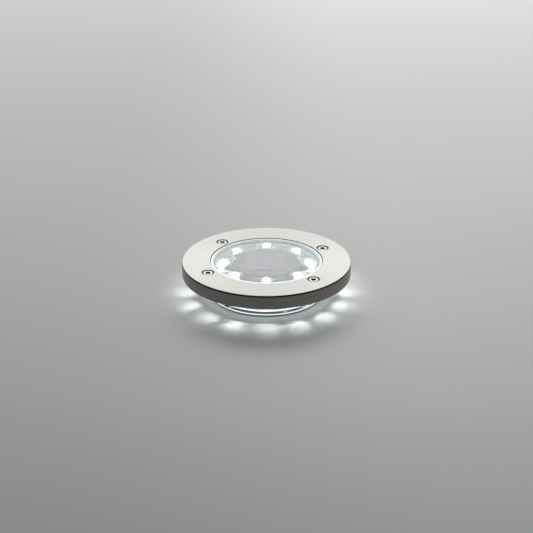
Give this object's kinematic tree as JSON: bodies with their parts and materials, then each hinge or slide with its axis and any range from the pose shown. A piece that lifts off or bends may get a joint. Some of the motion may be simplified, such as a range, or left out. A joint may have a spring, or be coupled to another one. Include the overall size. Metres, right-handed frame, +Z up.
{
  "type": "in ground well light",
  "caption": "Flat round ground light with a screwed brushed ring, a clear lens over a solar disc and cut optics, a clear cup below, and a service cap and push button in its base.",
  "frame": {"origin": "centre of the clear cup's underside, on the ground plane", "axes": "+Z up, out of the ground, along the axis of the ring; -Y towards the front of the picture; one diode lies on each row axis"},
  "size_m": [0.12, 0.12, 0.0255],
  "materials": {
    "stainless": "brushed",
    "screw_steel": "polished",
    "lens_glass": "polished",
    "clear_plastic": "polished",
    "cut_crystal": "polished",
    "led_light": "emissive",
    "drum_plastic": "satin",
    "panel": "satin",
    "cell": "satin",
    "silver": "satin",
    "brass": "turned",
    "silicone": "matte",
    "clear_silicone": "matte",
    "cap_plastic": "moulded",
    "button_rubber": "matte",
    "foam": "open cell foam",
    "board": "solder mask",
    "black_part": "moulded",
    "battery": "sleeve",
    "contact_steel": "nickel plated"
  },
  "bodies": {
    "housing": {"bezel": "stainless", "bezel_screws": "screw_steel", "threaded_inserts": "brass", "lens": "lens_glass", "lens_gasket": "clear_silicone", "clear_housing": "clear_plastic", "crystal_ring": "cut_crystal", "led_1": "led_light", "led_2": "led_light", "led_3": "led_light", "led_4": "led_light", "led_5": "led_light", "led_6": "led_light", "led_7": "led_light", "led_8": "led_light", "led_leads": "silver", "core_tub": "drum_plastic", "core_seal": "silicone", "core_screws": "screw_steel", "panel_disc": "panel", "solar_cell": "cell", "cell_busbars": "silver", "panel_leads": "silver", "control_board": "board", "driver_chip": "black_part", "inductor": "black_part", "capacitor": "black_part", "battery_cradle": "black_part", "cradle_screws": "screw_steel", "battery_cell": "battery", "contact_plus": "contact_steel", "contact_minus": "contact_steel", "battery_spring": "contact_steel", "button_seal": "silicone", "switch_body": "black_part"},
    "battery_cap": {"battery_cap": "cap_plastic", "cap_seal": "silicone", "cap_pad": "foam"},
    "power_button": {"power_button": "button_rubber", "switch_plunger": "black_part"}
  },
  "joints": [
    {"name": "cap_turn", "type": "hinge", "parent": "housing", "child": "battery_cap", "pos_m": [0, 0.005, 0.002], "axis": [0, 0, -1], "range_deg": [0, 30]},
    {"name": "button_press", "type": "slide", "parent": "housing", "child": "power_button", "axis": [0, 0, 1], "range_m": [0, 0.0012], "stiffness_N_per_m": 600, "springref_m": -0.0005}
  ]
}
